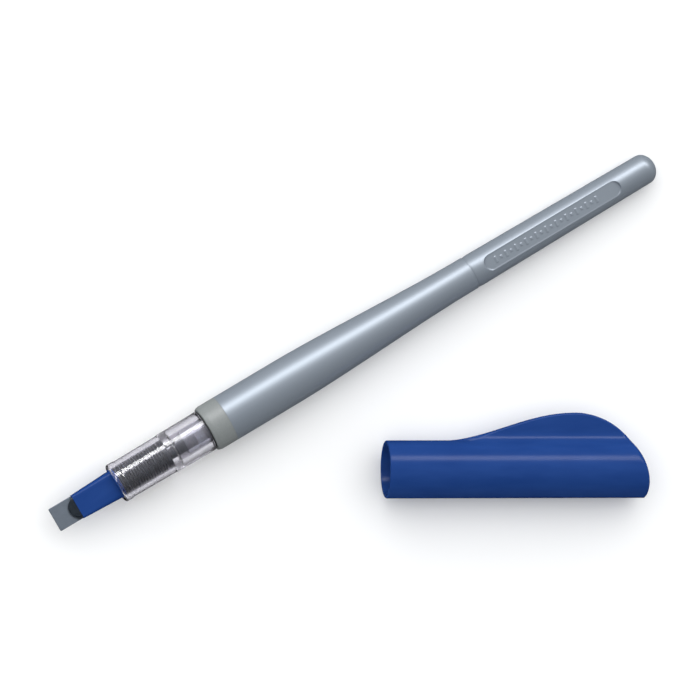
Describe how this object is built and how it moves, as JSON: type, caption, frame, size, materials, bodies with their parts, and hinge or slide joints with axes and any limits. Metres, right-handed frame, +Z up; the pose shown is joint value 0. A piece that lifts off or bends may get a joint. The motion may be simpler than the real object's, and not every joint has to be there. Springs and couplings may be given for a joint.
{
  "type": "parallel-plate calligraphy pen",
  "caption": "Broad-edge calligraphy fountain pen with two parallel steel nib plates, clear finned-feed section, long tapering silver barrel and a separate blue winged cap.",
  "frame": {"origin": "centre of the collar ring, on the pen's axis", "axes": "+X along the pen from the nib towards the tail, +Z up from the table that pen and cap lie on; the pen's axis slopes down to the tail by 1.19 degrees, as it lies"},
  "size_m": [0.1705, 0.0746, 0.014],
  "materials": {
    "clear_plastic": "polished, clear",
    "black_rubber": "matte",
    "grey_ring": "fine matte, warm grey",
    "sleeve_plastic": "satin",
    "silver_barrel": "metallic silver-blue lacquer, satin gloss",
    "frosted_plastic": "frosted, translucent",
    "steel_ball": "polished",
    "ink_blue_black": "liquid",
    "feed_plastic": "satin, near black",
    "blue_plastic": "glossy moulded blue",
    "nib_steel": "fine brushed",
    "white_rubber": "soft, matte"
  },
  "bodies": {
    "grip": {"section": "clear_plastic", "gasket": "black_rubber"},
    "nib_unit": {"nib_holder": "blue_plastic", "nib_plate_upper": "nib_steel", "nib_plate_lower": "nib_steel", "nib_spacers": "nib_steel", "feed_nose": "feed_plastic", "ink_tongue": "feed_plastic", "feed_comb": "feed_plastic", "feed_stem": "feed_plastic"},
    "collar": {"collar_ring": "grey_ring", "thread_sleeve": "sleeve_plastic"},
    "barrel": {"barrel_tube": "silver_barrel", "tail_tube": "silver_barrel"},
    "cartridge": {"cartridge_body": "frosted_plastic", "seal_ball": "steel_ball", "ink": "ink_blue_black"},
    "cap": {"cap_shell": "blue_plastic", "inner_cap": "frosted_plastic", "cap_seal": "white_rubber"}
  },
  "joints": [
    {"name": "nib_pull", "type": "slide", "parent": "grip", "child": "nib_unit", "axis": [-0.9998, 0, 0.0209], "range_m": [0, 0.032]},
    {"name": "barrel_advance", "type": "slide", "parent": "grip", "child": "collar", "axis": [0.9998, 0, -0.0209], "range_m": [0, 0.00751]},
    {"name": "barrel_turn", "type": "hinge", "parent": "collar", "child": "barrel", "pos_m": [0, 0, 0], "axis": [0.9998, 0, -0.0209], "range_deg": [0, 1800]},
    {"name": "cartridge_pull", "type": "slide", "parent": "grip", "child": "cartridge", "axis": [0.9998, 0, -0.0209], "range_m": [0, 0.008]},
    {"name": "cap_swing", "type": "hinge", "parent": "grip", "child": "cap", "pos_m": [-0.0214, 0, 0], "axis": [0, 0, -1], "range_deg": [0, 149.5]}
  ],
  "couplings": [
    {"joint": "barrel_advance", "follows": "barrel_turn", "m_per_rad": 0.00023873}
  ]
}
